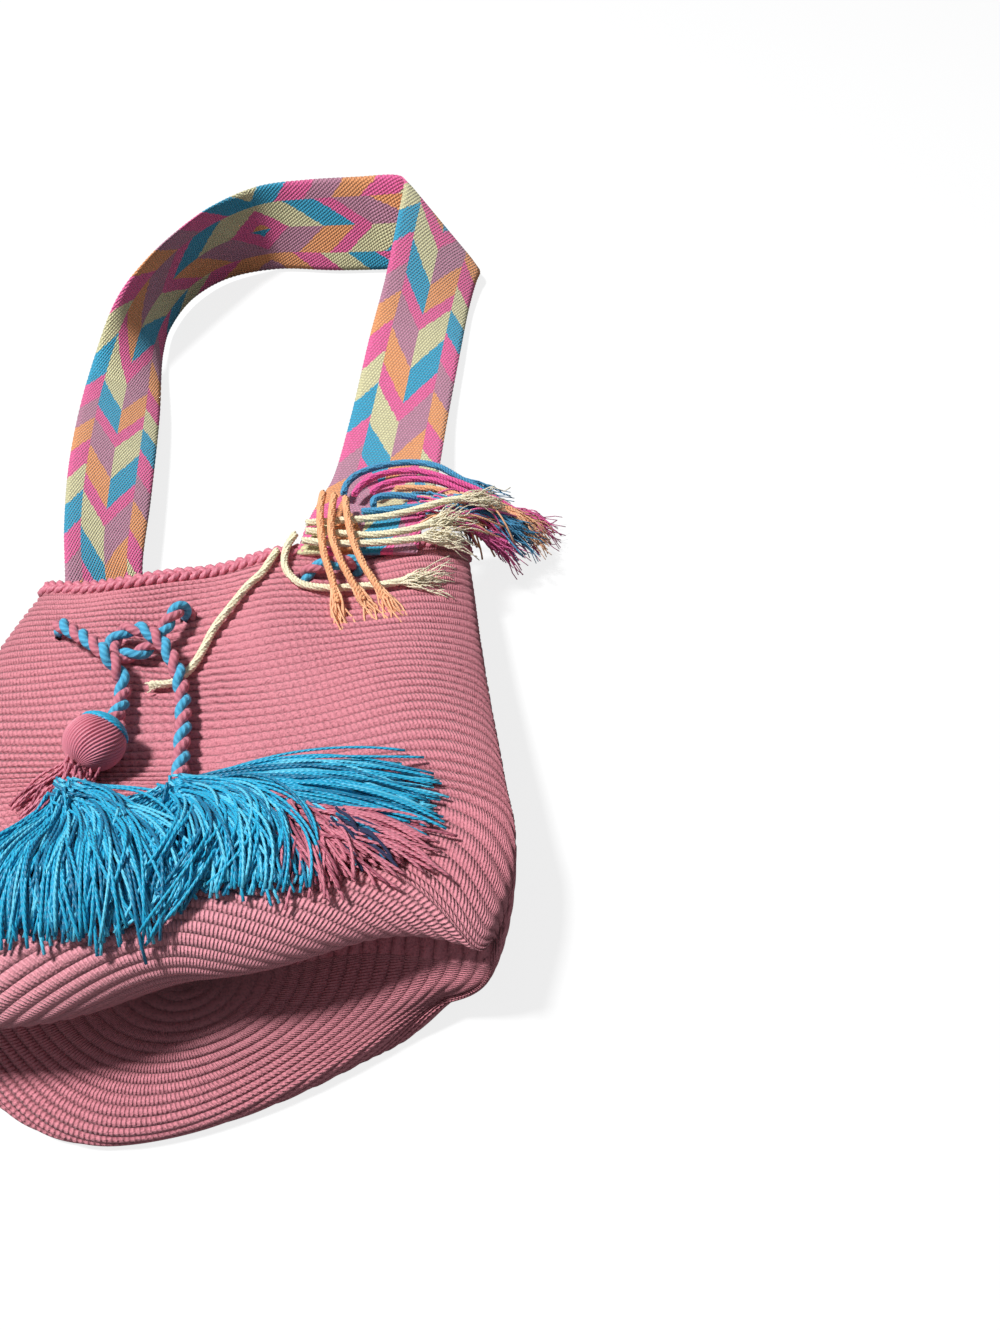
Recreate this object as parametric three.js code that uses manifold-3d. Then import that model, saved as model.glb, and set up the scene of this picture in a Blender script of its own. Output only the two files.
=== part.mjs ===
import * as THREE from "three";
import { mergeVertices } from "three/addons/utils/BufferGeometryUtils.js";
import Module from "manifold-3d";

const wasm = await Module();
wasm.setup();

// Driving dimensions, in millimetres. The bag lies on its back: +Y runs from base to mouth, +Z is up.
const BASE_ROWS = 21;
const ALL_ROWS = 57;
const ROW_PITCH = 5.8;
const RIBS = 24;
const SEGMENTS = 36;
const WALL = 3.6;
const RIB_HEIGHT = 1.1;
const EYELET_DIAMETER = 11;
const STRAP_THICKNESS = 2.4;
const ROPE_DIAMETER = 6.5;
const FRINGE_DIAMETER = 3.4;
const CORD_STEP = 10.5;

// Wall by crochet row: front [y, z], right side [x, y, z], back [y, z].
const STATIONS = [
  { row: 21, front: [-41, 68], side: [119, -82, 42], back: [-118, -6] },
  { row: 24, front: [-30, 63.5], side: [128, -66, 44.5], back: [-98, -6] },
  { row: 28, front: [-17, 58.5], side: [132.5, -42, 46.5], back: [-70, -6] },
  { row: 34, front: [1, 55], side: [127, -4, 45.5], back: [-25, -6] },
  { row: 40, front: [35, 53.6], side: [121, 35, 41.5], back: [20, -6] },
  { row: 46, front: [69, 53.6], side: [115.5, 75, 37], back: [64, -6] },
  { row: 52, front: [104, 53.6], side: [111, 113, 32], back: [108, -6] },
  { row: 57, front: [132, 50.6], side: [106.5, 146, 28], back: [142, -6] },
];

// The round base is folded across its middle: its front half rolls up over a lip, its back half
// makes the hollow below. Each line is [distance from the fold, y, z].
const LIP_LINE = [
  [0, -83, 32], [8, -86, 40], [21, -91.5, 52], [30, -92.5, 60], [40, -88.5, 69.5], [50, -80.5, 76],
  [62, -69, 79],
  [75, -56.5, 76], [91, -42, 69], [117, -22, 61], [135, -6, 57],
];
const HOLLOW_LINE = [
  [0, -83, 32], [15, -96, 23], [34, -113, 15.5], [53, -131, 11], [60, -134, 5], [66, -131, -1],
  [79, -118, -6],
  [102, -95, -6], [117, -80, -6],
];
const LIP_SHARE = 0.75;
const HOLLOW_SHARE = 0.65;
const BASE_SHIFT = 4;
const BLEND_ROWS = 10;
const LIP_SWEEP = {
  leftFrom: 18, forward: 18, width: 38, back: 17, backX: 92, backWidth: 42, reach: 20, fade: 50,
};
const CORNER = { drop: 0.25, dropAt: 100, rise: 10, riseAt: 120, fade: 40 };
const HOLLOW = { x: -20, left: 84, leftPower: 2, right: 123, rightPower: 1.72 };
const TUCK = { x: 72, width: 40, fade: 15, back: 13, down: 6 };
const SLOUCH = { roundness: 0.72, slant: 0.16, bulge: 2, row: 39, rows: 9 };
const MOUTH = { pull: 9, pullX: -56, pullWidth: 34, wave: 3, waveX: 18, waveLength: 11, droop: 2 };
const DENT = { depth: 4, x: -32, width: 16, slant: 0.45, y: 70, row: 47.5, rows: 7.5 };
const BALL = { radius: 12.4, half: 11.8, groove: 0.95, rings: 8, wraps: 12, turn: -0.35 };
const BALL_AT = [-40, 2.5, 68];

const EYELETS = [[-80, 78], [-23, 88], [30, 113], [54, 121]];

// Strap edges from the end sewn on the front rim, round the loop, to the end sewn inside the mouth.
const STRAP_EDGES = [
  { left: [24, 128, 53.4], right: [83, 132, 50.4] },
  { left: [26, 150, 52.6], right: [85, 158, 48.6] },
  { left: [28, 181, 43], right: [87, 187, 37] },
  { left: [30, 214, 31], right: [88, 222, 23] },
  { left: [32, 289, 20], right: [91, 297, 10] },
  { left: [37, 370, 24], right: [97, 378, 7] },
  { left: [45, 433, 36], right: [102, 438, 6] },
  { left: [52, 492, 55], right: [107, 474, 8] },
  { left: [54, 520, 61], right: [111, 490, 9] },
  { left: [46, 530, 61], right: [98, 503, 5] },
  { left: [20, 527, 61], right: [58, 501, 3] },
  { left: [-18, 522, 61], right: [0, 498, 3] },
  { left: [-52, 512, 61], right: [-48, 500, 3] },
  { left: [-80, 480, 62], right: [-82, 485, 4] },
  { left: [-97, 446, 62], right: [-103, 455, 5] },
  { left: [-114, 405, 59], right: [-112, 415, 5] },
  { left: [-126, 369, 52], right: [-110, 380, 6] },
  { left: [-136, 317, 32], right: [-93, 296, 11] },
  { left: [-126, 235, 31], right: [-80, 216, 13] },
  { left: [-113, 176, 31], right: [-72, 160, 13] },
  { left: [-98, 124, 31], right: [-66, 132, 7] },
  { left: [-94, 100, 29], right: [-62, 104, 7] },
];

// Drawstring: the stretch threaded round the mouth, then the two ends that cross on the front.
const ROPE_LOOP = [
  [-80, 78, 41], [-81, 77, 36], [-90, 70, 27], [-89, 63, 15], [-68, 64, 9], [-20, 78, 8], [30, 86, 8],
  [72, 90, 9],
  [93, 93, 16], [95, 100, 27], [82, 111, 34], [66, 120, 34], [56, 121, 38], [54, 121, 46], [54, 121, 53],
  [50, 120, 57], [43, 117, 57], [35, 115, 57], [30, 113, 54], [30, 113, 46], [28, 112, 39], [20, 106, 36],
  [4, 96, 36], [-14, 89, 36], [-22, 88, 41],
];
const ROPE_RIGHT = [
  [-23, 88, 46], [-23, 88, 54], [-24, 85, 60], [-28, 75, 60], [-33, 65, 57], [-40, 59, 57], [-47, 59, 57],
  [-51, 64, 58], [-47, 70, 60], [-39, 70, 62], [-32, 66, 63], [-25, 59, 62], [-18, 48, 60], [-14, 37, 58],
  [-10, 22, 59], [-7, 6, 60.5], [-4.5, -6, 62.5], [-3, -14.5, 65],
];
const ROPE_LEFT = [
  [-80, 78, 46], [-80, 78, 53], [-77, 75, 59], [-68, 68, 62], [-58, 60, 65], [-49, 52, 66], [-43, 46, 63],
  [-40, 40, 59], [-39, 33, 59], [-37.5, 26, 60.5], [-36.9, 14.6, 65],
];

// Fringe cords at the sewn end of the strap, by colour.
const FRINGE = {
  peach: [
    [[33, 168, 59], [34, 152, 63], [36, 136, 64], [40, 117, 64], [45, 103, 60], [48, 92, 56]],
    [[39, 166, 59], [40, 149, 63], [42, 131, 64], [47, 116, 64], [54, 103, 60], [60, 95, 55]],
    [[45, 164, 59], [48, 147, 63], [53, 127, 63], [59, 113, 61], [65, 103, 59], [71, 95, 55]],
  ],
  cream: [
    [[27, 146, 58], [44, 148, 58], [62, 151, 57], [78, 157, 56], [96, 166, 55], [107, 171, 53]],
    [[28, 139, 59], [47, 137, 59], [60, 137, 58], [72, 140, 57], [84, 145, 56], [91, 150, 55]],
    [[27, 132, 59], [42, 130, 59], [58, 131, 58], [76, 134, 57], [88, 139, 55]],
    [[22, 139, 57], [19, 128, 57], [20, 116, 56], [29, 105, 56], [43, 103, 55], [56, 105, 54],
      [67, 106, 54], [79, 109, 54]],
    [[14, 129, 55], [12, 121, 56], [9, 112, 56], [4, 104, 56], [-2, 90, 56], [-8, 76, 55],
      [-11, 64, 54], [-14, 54, 54],
      [-21, 46, 53], [-30, 43, 55]],
  ],
  blue: [
    [[42, 176, 52], [42, 190, 47], [46, 204, 42], [55, 215, 38], [66, 221, 36], [77, 223, 35],
      [90, 218, 36],
      [104, 211, 32], [119, 207, 25]],
    [[59, 164, 54], [59, 170, 53], [64, 174, 52], [77, 177, 49], [96, 178, 44], [114, 179, 36],
      [133, 179, 25]],
    [[54, 157, 56], [64, 159, 55], [76, 162, 54], [88, 167, 51], [101, 171, 48], [118, 173, 40],
      [136, 173, 30]],
  ],
  pink: [
    [[48, 174, 53], [50, 186, 49], [56, 198, 45], [66, 206, 42], [79, 208, 41], [93, 205, 39],
      [109, 201, 35],
      [124, 198, 28], [138, 196, 19], [151, 196, 13]],
    [[57, 178, 51], [62, 188, 48], [76, 196, 45], [90, 198, 42], [105, 194, 38], [123, 190, 30],
      [140, 186, 21]],
    [[92, 155, 51], [104, 158, 45], [116, 160, 38], [128, 163, 28]],
  ],
  apricot: [
    [[69, 182, 50], [80, 186, 47], [92, 187, 45], [109, 185, 41], [127, 185, 35], [143, 182, 25]],
  ],
};

function fabric(red, green, blue) {
  const color = new THREE.Color().setRGB(red / 255, green / 255, blue / 255, THREE.SRGBColorSpace);
  return new THREE.MeshStandardMaterial({ color, roughness: 0.9, metalness: 0 });
}

const ROSE = fabric(215, 125, 140);
const CREAM = fabric(228, 220, 178);
const BLUE = fabric(60, 170, 212);
const HOT_PINK = fabric(238, 100, 165);
const PEACH = fabric(250, 165, 112);
const NAVY = fabric(45, 50, 82);

// Smooth value at a place in a table of [place, number] pairs.
function along(pairs, place) {
  const last = pairs.length - 1;
  let k = 0;
  while (k < last - 1 && place > pairs[k + 1][0]) {
    k += 1;
  }
  const slope = (i) => {
    const a = pairs[Math.max(i - 1, 0)];
    const b = pairs[Math.min(i + 1, last)];
    return (b[1] - a[1]) / (b[0] - a[0]);
  };
  const [r0, v0] = pairs[k];
  const [r1, v1] = pairs[k + 1];
  const span = r1 - r0;
  const t = (place - r0) / span;
  const ease = t * t * (3 - 2 * t);
  const start = t * (1 - t) * (1 - t) * span * slope(k);
  const end = t * t * (t - 1) * span * slope(k + 1);
  return v0 + (v1 - v0) * ease + start + end;
}

const guide = {};
for (const [name, part, index] of [
  ["frontY", "front", 0], ["frontZ", "front", 1], ["sideX", "side", 0], ["sideY", "side", 1],
  ["sideZ", "side", 2], ["backY", "back", 0], ["backZ", "back", 1],
]) {
  guide[name] = STATIONS.map((station) => [station.row, station[part][index]]);
}
guide.lipY = LIP_LINE.map(([reach, y]) => [reach, y]);
guide.lipZ = LIP_LINE.map(([reach, , z]) => [reach, z]);
guide.hollowY = HOLLOW_LINE.map(([reach, y]) => [reach, y]);
guide.hollowZ = HOLLOW_LINE.map(([reach, , z]) => [reach, z]);

const hump = (value, centre, width) => Math.exp(-(((value - centre) / width) ** 2));

// The lip comes forward on the left and runs back towards the right corner.
function lipShift(x) {
  const { leftFrom, forward, width, back, backX, backWidth } = LIP_SWEEP;
  const left = x < leftFrom ? forward * (1 - hump(x, leftFrom, width)) : 0;
  return back * hump(x, backX, backWidth) - left;
}

// How far the hollow reaches forward, from 1 at its deepest to 0 at its ends.
function hollowDepth(x) {
  const { x: middleX, left, leftPower, right, rightPower } = HOLLOW;
  const away = x < middleX ? ((middleX - x) / left) ** leftPower : ((x - middleX) / right) ** rightPower;
  return Math.max(0, 1 - away);
}

// Folded base, also carried on a few rows past its edge so that the wall can blend into it.
function basePoint(row, angle) {
  const ring = Math.min(row, BASE_ROWS);
  const up = Math.sin(angle) >= 0;
  const x = ring * ROW_PITCH * Math.cos(angle) + BASE_SHIFT * (1 - ring / BASE_ROWS);
  const reach = row * ROW_PITCH * Math.abs(Math.sin(angle)) * (up ? LIP_SHARE : HOLLOW_SHARE);
  const [, foldY, foldZ] = LIP_LINE[0];
  let y = along(up ? guide.lipY : guide.hollowY, reach);
  let z = along(up ? guide.lipZ : guide.hollowZ, reach);
  if (up) {
    y += lipShift(x) * hump(reach, LIP_SWEEP.reach, LIP_SWEEP.fade);
    z = foldZ + (z - foldZ) * (1 - CORNER.drop * (Math.max(x, 0) / CORNER.dropAt) ** 2);
  } else {
    y = foldY + (y - foldY) * hollowDepth(x);
  }
  z += CORNER.rise * (x / CORNER.riseAt) ** 2 * hump(reach, 0, CORNER.fade);
  const tuck = hump(x, TUCK.x, TUCK.width) * hump(reach, 0, TUCK.fade);
  y += TUCK.back * tuck;
  z -= TUCK.down * tuck;
  return new THREE.Vector3(x, y, z);
}

// Wall above the base, with its slouch, the waves of its mouth and one slanting dent.
function sidePoint(row, angle) {
  const up = Math.sin(angle) >= 0;
  const across = Math.sign(Math.cos(angle)) * Math.abs(Math.cos(angle)) ** SLOUCH.roundness;
  const rise = Math.abs(Math.sin(angle)) ** SLOUCH.roundness;
  const farY = along(up ? guide.frontY : guide.backY, row);
  const farZ = along(up ? guide.frontZ : guide.backZ, row);
  const sideY = along(guide.sideY, row);
  const sideZ = along(guide.sideZ, row);
  const x = along(guide.sideX, row) * across;
  let y = sideY + (farY - sideY) * rise;
  let z = sideZ + (farZ - sideZ) * rise;
  const height = (row - BASE_ROWS) / (ALL_ROWS - BASE_ROWS);
  y += SLOUCH.slant * x * height * height;
  if (up) {
    z += SLOUCH.bulge * Math.sin(2 * angle) ** 2 * hump(row, SLOUCH.row, SLOUCH.rows);
    y -= rise * MOUTH.pull * hump(x, MOUTH.pullX, MOUTH.pullWidth) * height ** 4;
    z += rise * height ** 3 * (MOUTH.wave * Math.cos((x - MOUTH.waveX) / MOUTH.waveLength) - MOUTH.droop);
    const slanted = x + DENT.slant * (y - DENT.y);
    z -= rise * DENT.depth * hump(slanted, DENT.x, DENT.width) * hump(row, DENT.row, DENT.rows);
  }
  return new THREE.Vector3(x, y, z);
}

// Outside of the bag at a crochet row and an angle round it.
function wallPoint(row, angle) {
  const t = Math.min(Math.max((row - BASE_ROWS) / BLEND_ROWS, 0), 1);
  const point = t < 1 ? basePoint(row, angle) : sidePoint(row, angle);
  if (t > 0 && t < 1) {
    point.lerp(sidePoint(row, angle), t * t * (3 - 2 * t));
  }
  point.z = Math.max(point.z, 0);
  return point;
}

function wallNormal(row, angle) {
  const step = 0.12;
  const turn = 0.02;
  const safe = Math.min(Math.max(row, 0.6), ALL_ROWS - step);
  const alongRow = wallPoint(safe + step, angle).sub(wallPoint(safe - step, angle));
  const round = wallPoint(safe, angle + turn).sub(wallPoint(safe, angle - turn));
  return alongRow.cross(round).normalize();
}

function signedVolume(geometry) {
  const place = geometry.getAttribute("position");
  const order = geometry.getIndex();
  const a = new THREE.Vector3();
  const b = new THREE.Vector3();
  const c = new THREE.Vector3();
  let volume = 0;
  for (let i = 0; i < order.count; i += 3) {
    a.fromBufferAttribute(place, order.getX(i));
    b.fromBufferAttribute(place, order.getX(i + 1));
    c.fromBufferAttribute(place, order.getX(i + 2));
    volume += a.dot(b.cross(c));
  }
  return volume;
}

// Closed solid through a list of rings of equal size; each end closes on a centre point.
function loft(rings, firstTip, lastTip) {
  const count = rings[0].length;
  const points = [firstTip, ...rings.flat(), lastTip];
  const faces = [];
  const at = (ring, k) => 1 + ring * count + (k % count);
  for (let k = 0; k < count; k += 1) {
    faces.push(0, at(0, k + 1), at(0, k));
    faces.push(points.length - 1, at(rings.length - 1, k), at(rings.length - 1, k + 1));
  }
  for (let ring = 0; ring + 1 < rings.length; ring += 1) {
    for (let k = 0; k < count; k += 1) {
      faces.push(at(ring, k), at(ring, k + 1), at(ring + 1, k + 1));
      faces.push(at(ring, k), at(ring + 1, k + 1), at(ring + 1, k));
    }
  }
  const geometry = new THREE.BufferGeometry().setFromPoints(points);
  geometry.setIndex(faces);
  if (signedVolume(geometry) < 0) {
    geometry.setIndex(faces.map((_, i) => faces[i - (i % 3) + 2 - (i % 3)]));
  }
  return geometry;
}

function toManifold(source) {
  const bare = source.clone();
  bare.deleteAttribute("normal");
  bare.deleteAttribute("uv");
  const merged = mergeVertices(bare, 1e-4);
  return new wasm.Manifold(new wasm.Mesh({
    numProp: 3,
    vertProperties: new Float32Array(merged.getAttribute("position").array),
    triVerts: new Uint32Array(merged.getIndex().array),
  }));
}

function fromManifold(solid) {
  const mesh = solid.getMesh();
  const geometry = new THREE.BufferGeometry();
  geometry.setAttribute("position", new THREE.BufferAttribute(new Float32Array(mesh.vertProperties), 3));
  geometry.setIndex(new THREE.BufferAttribute(new Uint32Array(mesh.triVerts), 1));
  return geometry;
}

const bag = new THREE.Group();

function add(name, geometry, material) {
  geometry.computeVertexNormals();
  const mesh = new THREE.Mesh(geometry, material);
  mesh.name = name;
  bag.add(mesh);
}

// Bag body: ribbed outside, plain inside.
function bodyRing(row, depth, floor) {
  const ring = [];
  for (let k = 0; k < SEGMENTS; k += 1) {
    const angle = (2 * Math.PI * (k + 0.5)) / SEGMENTS;
    const point = wallPoint(row, angle);
    const pressedFlat = point.z === 0 && floor === 0;
    if (!pressedFlat) {
      point.addScaledVector(wallNormal(row, angle), -depth);
    }
    point.z = Math.max(point.z, floor);
    ring.push(point);
  }
  return ring;
}

const middle = (ring) => ring.reduce((sum, p) => sum.add(p), new THREE.Vector3()).divideScalar(ring.length);

const ribRows = ALL_ROWS / RIBS;
const outside = [];
for (let half = 1; half <= 2 * RIBS; half += 1) {
  outside.push(bodyRing((half * ribRows) / 2, half % 2 === 1 ? 0 : RIB_HEIGHT, 0));
}
const inside = [];
for (let rib = RIBS; rib >= 1; rib -= 1) {
  inside.push(bodyRing(rib * ribRows, WALL, WALL));
}
const shell = loft([...outside, ...inside], middle(outside[0]), middle(inside[inside.length - 1]));

let body = toManifold(shell);
for (const [x, y] of EYELETS) {
  const punch = new THREE.CylinderGeometry(EYELET_DIAMETER / 2, EYELET_DIAMETER / 2, 40, 12);
  punch.rotateX(Math.PI / 2);
  punch.translate(x, y, 48);
  body = body.subtract(toManifold(punch));
}
add("bag_body", fromManifold(body), ROSE);

// Shoulder strap: five lines run the length of the band, spaced by the four chevron columns.
const COLUMNS = [0, 0.2, 0.5, 0.8, 1];
const STRAP_STEPS = 48;

const lines = COLUMNS.map((share) => {
  const route = STRAP_EDGES.map((pair) => {
    const left = new THREE.Vector3(...pair.left);
    return left.lerp(new THREE.Vector3(...pair.right), share);
  });
  return new THREE.CatmullRomCurve3(route, false, "centripetal");
});
const strapRings = [];
for (let step = 0; step <= STRAP_STEPS; step += 1) {
  const t = step / STRAP_STEPS;
  const row = lines.map((line) => line.getPoint(t));
  const ahead = lines.map((line) => line.getTangent(t));
  const over = row[4].clone().sub(row[0]).normalize();
  const faces = ahead.map((tangent) => over.clone().cross(tangent).normalize());
  const top = row.map((p, i) => p.clone().addScaledVector(faces[i], STRAP_THICKNESS / 2));
  const under = row.map((p, i) => p.clone().addScaledVector(faces[i], -STRAP_THICKNESS / 2));
  strapRings.push([...top, ...under.reverse()]);
}
add("shoulder_strap", loft(strapRings, middle(strapRings[0]), middle(strapRings[STRAP_STEPS])), CREAM);

// Round cord along a hand-laid route.
function cord(name, route, diameter, sides, material) {
  const places = route.map((p) => new THREE.Vector3(...p));
  const curve = new THREE.CatmullRomCurve3(places, false, "centripetal");
  const corners = [];
  for (let k = 0; k < sides; k += 1) {
    const turn = (2 * Math.PI * k) / sides;
    corners.push(new THREE.Vector2(Math.cos(turn), Math.sin(turn)).multiplyScalar(diameter / 2));
  }
  const steps = Math.max(6, Math.round(curve.getLength() / CORD_STEP));
  const tube = new THREE.ExtrudeGeometry(new THREE.Shape(corners), {
    steps,
    bevelEnabled: false,
    extrudePath: curve,
  });
  add(name, tube, material);
}

cord("drawstring_in_mouth", ROPE_LOOP, ROPE_DIAMETER, 8, BLUE);
cord("drawstring_right_end", ROPE_RIGHT, ROPE_DIAMETER, 8, BLUE);
cord("drawstring_left_end", ROPE_LEFT, ROPE_DIAMETER, 8, BLUE);

const fringeColours = { peach: PEACH, cream: CREAM, blue: BLUE, pink: HOT_PINK, apricot: PEACH };
for (const [colour, routes] of Object.entries(FRINGE)) {
  routes.forEach((route, i) => {
    cord(`fringe_${colour}_${i + 1}`, route, FRINGE_DIAMETER, 8, fringeColours[colour]);
  });
}

// Lock of tassel yarn: a fluted bundle that follows a route, leaning with the wall it lies on.
function lock(name, lean, stations, flutes, material) {
  const route = stations.map((s) => new THREE.Vector3(...s.at));
  const curve = new THREE.CatmullRomCurve3(route, false, "centripetal");
  const widths = stations.map((s, i) => [i, s.wide / 2]);
  const heights = stations.map((s, i) => [i, s.high / 2]);
  const steps = 6;
  const rings = [];
  for (let step = 0; step <= steps; step += 1) {
    const t = step / steps;
    const centre = curve.getPoint(t);
    const ahead = curve.getTangent(t);
    const over = new THREE.Vector3(0, lean, 1).cross(ahead).normalize();
    const up = ahead.clone().cross(over);
    const wide = along(widths, t * (stations.length - 1));
    const high = along(heights, t * (stations.length - 1));
    const ring = [];
    for (let k = 0; k < 2 * flutes; k += 1) {
      const turn = (Math.PI * k) / flutes;
      const swell = k % 2 === 0 ? 1 : 0.84;
      const point = centre.clone();
      point.addScaledVector(over, wide * swell * Math.cos(turn));
      point.addScaledVector(up, high * swell * Math.sin(turn));
      ring.push(point);
    }
    rings.push(ring);
  }
  add(name, loft(rings, curve.getPoint(0), curve.getPoint(1)), material);
}

// Left tassel: wrapped ball head, short pink skirt, long blue skirt over the lip.
const ball = [];
for (let ring = 1; ring < BALL.rings; ring += 1) {
  const polar = (Math.PI * ring) / BALL.rings;
  const loop = [];
  for (let k = 0; k < 2 * BALL.wraps; k += 1) {
    const turn = (Math.PI * k) / BALL.wraps;
    const radius = BALL.radius * Math.sin(polar) * (k % 2 === 0 ? 1 : BALL.groove);
    const height = -BALL.half * Math.cos(polar);
    loop.push(new THREE.Vector3(radius * Math.cos(turn), height, radius * Math.sin(turn)));
  }
  ball.push(loop);
}
const head = loft(ball, new THREE.Vector3(0, -BALL.half, 0), new THREE.Vector3(0, BALL.half, 0));
head.rotateZ(BALL.turn);
head.translate(...BALL_AT);
add("left_tassel_head", head, ROSE);

lock("left_tassel_skirt", 0.2, [
  { at: [-44.6, -10.6, 66], wide: 15, high: 11 },
  { at: [-50.5, -20, 66.2], wide: 18, high: 9 },
  { at: [-58.5, -32, 68], wide: 21, high: 6 },
], 9, ROSE);

lock("left_tassel_yarn", 0.4, [
  { at: [-35.5, -24, 67.5], wide: 13, high: 9 },
  { at: [-30, -36, 72.5], wide: 32, high: 10 },
  { at: [-26, -54, 80.5], wide: 46, high: 9 },
  { at: [-23, -70, 83.5], wide: 50, high: 5 },
], 13, BLUE);

// Right tassel: neck wrap, a lock laid to the right, a lock over the lip, pink and navy locks inside.
lock("right_tassel_neck", 0.2, [
  { at: [-2.6, -16, 65.6], wide: 11, high: 9 },
  { at: [-1.8, -20, 66.6], wide: 12, high: 10 },
  { at: [-1, -24, 68], wide: 12, high: 10 },
], 8, BLUE);

lock("right_tassel_long_lock", 0.2, [
  { at: [5.5, -18.5, 66], wide: 13, high: 10 },
  { at: [34, -14, 65], wide: 20, high: 11 },
  { at: [66, -10, 63], wide: 21, high: 10 },
  { at: [98, -7, 61], wide: 17, high: 7 },
], 11, BLUE);

lock("right_tassel_lip_lock", 0.4, [
  { at: [4.5, -29.5, 70.5], wide: 12, high: 9 },
  { at: [20, -44, 77], wide: 34, high: 10 },
  { at: [26, -57, 83], wide: 42, high: 9 },
  { at: [30, -70, 85], wide: 42, high: 5 },
], 12, BLUE);

lock("right_tassel_pink_lock", 0.4, [
  { at: [38, -29, 68.5], wide: 9, high: 8 },
  { at: [60, -36, 71], wide: 18, high: 10 },
  { at: [82, -38, 70.5], wide: 24, high: 10 },
  { at: [102, -38, 68], wide: 24, high: 7 },
], 10, ROSE);

lock("right_tassel_navy_lock", 0.4, [
  { at: [56, -33, 78.5], wide: 5, high: 3 },
  { at: [72, -35, 79], wide: 9, high: 4 },
  { at: [90, -37, 77.5], wide: 10, high: 3 },
], 6, NAVY);

export default bag;
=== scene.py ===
import math

import bpy
import numpy as np
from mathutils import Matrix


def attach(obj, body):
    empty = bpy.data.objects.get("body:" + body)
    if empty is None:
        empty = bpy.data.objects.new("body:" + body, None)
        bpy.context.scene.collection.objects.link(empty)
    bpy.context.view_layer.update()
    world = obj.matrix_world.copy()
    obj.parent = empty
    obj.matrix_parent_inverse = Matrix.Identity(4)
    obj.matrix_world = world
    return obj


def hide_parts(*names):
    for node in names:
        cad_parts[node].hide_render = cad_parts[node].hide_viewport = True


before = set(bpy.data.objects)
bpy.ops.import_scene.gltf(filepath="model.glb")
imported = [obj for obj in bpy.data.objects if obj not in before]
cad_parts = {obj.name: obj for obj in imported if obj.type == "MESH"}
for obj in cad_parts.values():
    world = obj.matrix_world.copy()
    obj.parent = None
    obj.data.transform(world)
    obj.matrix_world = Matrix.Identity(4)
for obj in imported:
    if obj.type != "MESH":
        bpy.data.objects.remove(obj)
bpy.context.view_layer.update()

mm = 0.001
rng = np.random.default_rng(11)


# Camera at the photograph's angle, low over the base end and looking up the bag
cameraSetup = {"place": (0.125, -0.235, 0.400), "lookDown": 50.0, "lens": 27.07, "sensor": 36.0,
               "nearest": 0.01}


def makeCamera(setup):
    data = bpy.data.cameras.new("camera")
    data.lens = setup["lens"]
    data.sensor_width = setup["sensor"]
    data.clip_start = setup["nearest"]
    camera = bpy.data.objects.new("camera", data)
    camera.location = setup["place"]
    camera.rotation_euler = (math.radians(90.0 - setup["lookDown"]), 0.0, 0.0)
    bpy.context.collection.objects.link(camera)
    bpy.context.scene.camera = camera


makeCamera(cameraSetup)
print("camera set")


# Small helpers: smooth lines, frames along them, and meshes from grids of points
stepsPerBend = 24
tiny = 1e-9


def withEnds(route):
    p = np.array(route, float)
    return np.vstack([2 * p[0] - p[1], p, 2 * p[-1] - p[-2]])


def bendBetween(a, b, c, d, t):
    gaps = (np.maximum(np.linalg.norm(q, axis=-1, keepdims=True), tiny) for q in (b - a, c - b, d - c))
    t0, t1, t2 = (gap ** 0.5 for gap in gaps)
    m1 = ((b - a) / t0 - (c - a) / (t0 + t1) + (c - b) / t1) * t1
    m2 = ((c - b) / t1 - (d - b) / (t1 + t2) + (d - c) / t2) * t1
    return ((2 * t**3 - 3 * t**2 + 1) * b + (t**3 - 2 * t**2 + t) * m1 + (3 * t**2 - 2 * t**3) * c
            + (t**3 - t**2) * m2)


def smoothLine(route, spacing):
    p = withEnds(np.array(route, float) * mm)
    t = np.linspace(0, 1, stepsPerBend, endpoint=False)[:, None]
    bends = [bendBetween(a, b, c, d, t) for a, b, c, d in zip(p[:-3], p[1:-2], p[2:-1], p[3:])]
    line = np.vstack(bends + [p[-2:-1]])
    return evenLine(line, max(4, int(round(lineLength(line) / spacing)) + 1))


def throughPoints(route, count):
    p = withEnds(route)
    t = np.linspace(0, len(p) - 3, count)
    k = np.minimum(t.astype(int), len(p) - 4)
    return bendBetween(p[k], p[k + 1], p[k + 2], p[k + 3], (t - k)[:, None])


def lineLength(line):
    return float(np.linalg.norm(np.diff(line, axis=0), axis=1).sum())


def lengthsAlong(line):
    return np.concatenate([[0], np.cumsum(np.linalg.norm(np.diff(line, axis=0), axis=1))])


def evenLine(line, count):
    s = lengthsAlong(line)
    at = np.linspace(0, s[-1], count)
    return np.stack([np.interp(at, s, line[:, i]) for i in range(3)], 1)


def unit(v):
    return v / np.maximum(np.linalg.norm(v, axis=-1, keepdims=True), tiny ** 2)


def framesAlong(line):
    ahead = unit(np.gradient(line, axis=0))
    side = np.cross(ahead[0], (0.0, 0.0, 1.0) if abs(ahead[0][2]) < 0.9 else (1.0, 0.0, 0.0))
    sides = []
    for tangent in ahead:
        side = side - tangent * side.dot(tangent)
        side = side / np.linalg.norm(side)
        sides.append(side)
    sides = np.array(sides)
    return ahead, sides, np.cross(ahead, sides)


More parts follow.
